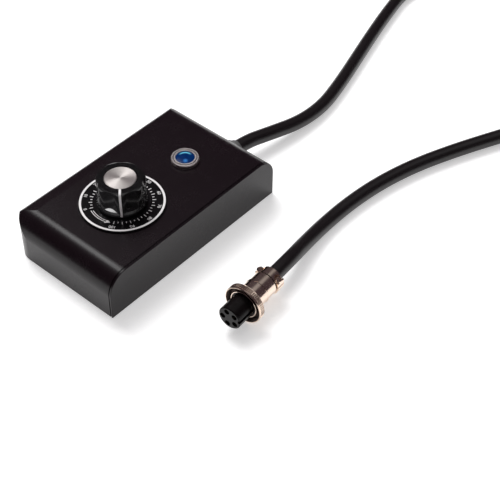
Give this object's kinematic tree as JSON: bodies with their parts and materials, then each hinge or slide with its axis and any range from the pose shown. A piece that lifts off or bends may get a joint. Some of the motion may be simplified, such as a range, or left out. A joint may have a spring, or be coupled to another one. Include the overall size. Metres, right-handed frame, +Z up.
{
  "type": "train set controller",
  "caption": "Small flat black box with a graduated speed knob and a lit push button on top, and a cable to a round multi-pole plug.",
  "frame": {"origin": "middle of the case's plan, on its underside, where it stands on the table", "axes": "+Z up, +Y along the case to the rear wall where the cable leaves, +X to the flat side plate"},
  "size_m": [0.1582, 0.3472, 0.0362],
  "materials": {
    "black_case": "fine satin black",
    "base": "satin black sheet",
    "steel_screws": "plated steel",
    "board_green": "green board with solder mask",
    "nylon": "natural nylon",
    "parts_black": "moulded black",
    "wire_cover": "soft wire covering",
    "dial_black": "gloss black",
    "white_print": "white ink",
    "pot_metal": "plated steel",
    "pot_carbon": "carbon track",
    "brass_inside": "plain brass",
    "knob_black": "polished black moulding",
    "cap_aluminium": "turned aluminium",
    "button_steel": "turned and plated",
    "button_blue": "clear blue, lit from below",
    "housing_black": "moulded black",
    "led_clear": "clear lamp body",
    "spring_steel": "spring wire",
    "gland_grey": "grey moulding",
    "cable_black": "smooth black jacket",
    "plug_nickel": "warm nickel plate",
    "plug_insulator": "black moulding"
  },
  "bodies": {
    "controller": {"case_shell": "black_case", "side_plate": "black_case", "base_plate": "base", "base_screws": "steel_screws", "side_plate_screws": "steel_screws", "board_screws": "steel_screws", "circuit_board": "board_green", "board_spacers": "nylon", "wire_connector": "nylon", "board_regulator": "parts_black", "board_capacitor": "parts_black", "board_resistors": "parts_black", "core_wires": "wire_cover", "pot_wires": "wire_cover", "dial_plate": "dial_black", "dial_ring": "white_print", "dial_ticks": "white_print", "pot_bushing": "pot_metal", "pot_can": "pot_metal", "pot_washer": "pot_metal", "pot_nut": "pot_metal", "button_washer": "pot_metal", "pot_track": "pot_carbon", "pot_terminals": "brass_inside", "button_terminals": "brass_inside", "plug_contacts": "brass_inside", "button_bezel": "button_steel", "button_nut": "button_steel", "button_housing": "housing_black", "button_led": "led_clear", "button_spring": "spring_steel", "cable_gland": "gland_grey", "gland_nut": "gland_grey", "cable_lead": "cable_black", "cable_coil": "cable_black", "cable_tail": "cable_black", "plug_barrel": "plug_nickel", "plug_clamp": "plug_nickel", "plug_sleeve": "plug_nickel", "plug_clamp_screws": "plug_nickel", "plug_insert": "plug_insulator"},
    "knob": {"knob_body": "knob_black", "knob_bush": "brass_inside", "knob_cap": "cap_aluminium", "knob_pointer_line": "white_print", "knob_grub_screw": "steel_screws", "pot_shaft": "pot_metal", "pot_wiper": "brass_inside"},
    "button": {"button_actuator": "button_steel", "button_lens": "button_blue"},
    "coupling_nut": {"plug_nut": "plug_nickel"}
  },
  "joints": [
    {"name": "knob_turn", "type": "hinge", "parent": "controller", "child": "knob", "pos_m": [0.0011, -0.0147, 0.03], "axis": [0, 0, 1], "range_deg": [-14, 286]},
    {"name": "button_press", "type": "slide", "parent": "controller", "child": "button", "axis": [0, 0, -1], "range_m": [0, 0.002], "stiffness_N_per_m": 800, "springref_m": -0.001, "deforming": ["button_spring"]},
    {"name": "coupling_nut_spin", "type": "hinge", "parent": "controller", "child": "coupling_nut", "pos_m": [0.07047, -0.01485, 0.009], "axis": [0.0698, -0.9976, 0], "continuous": true}
  ]
}
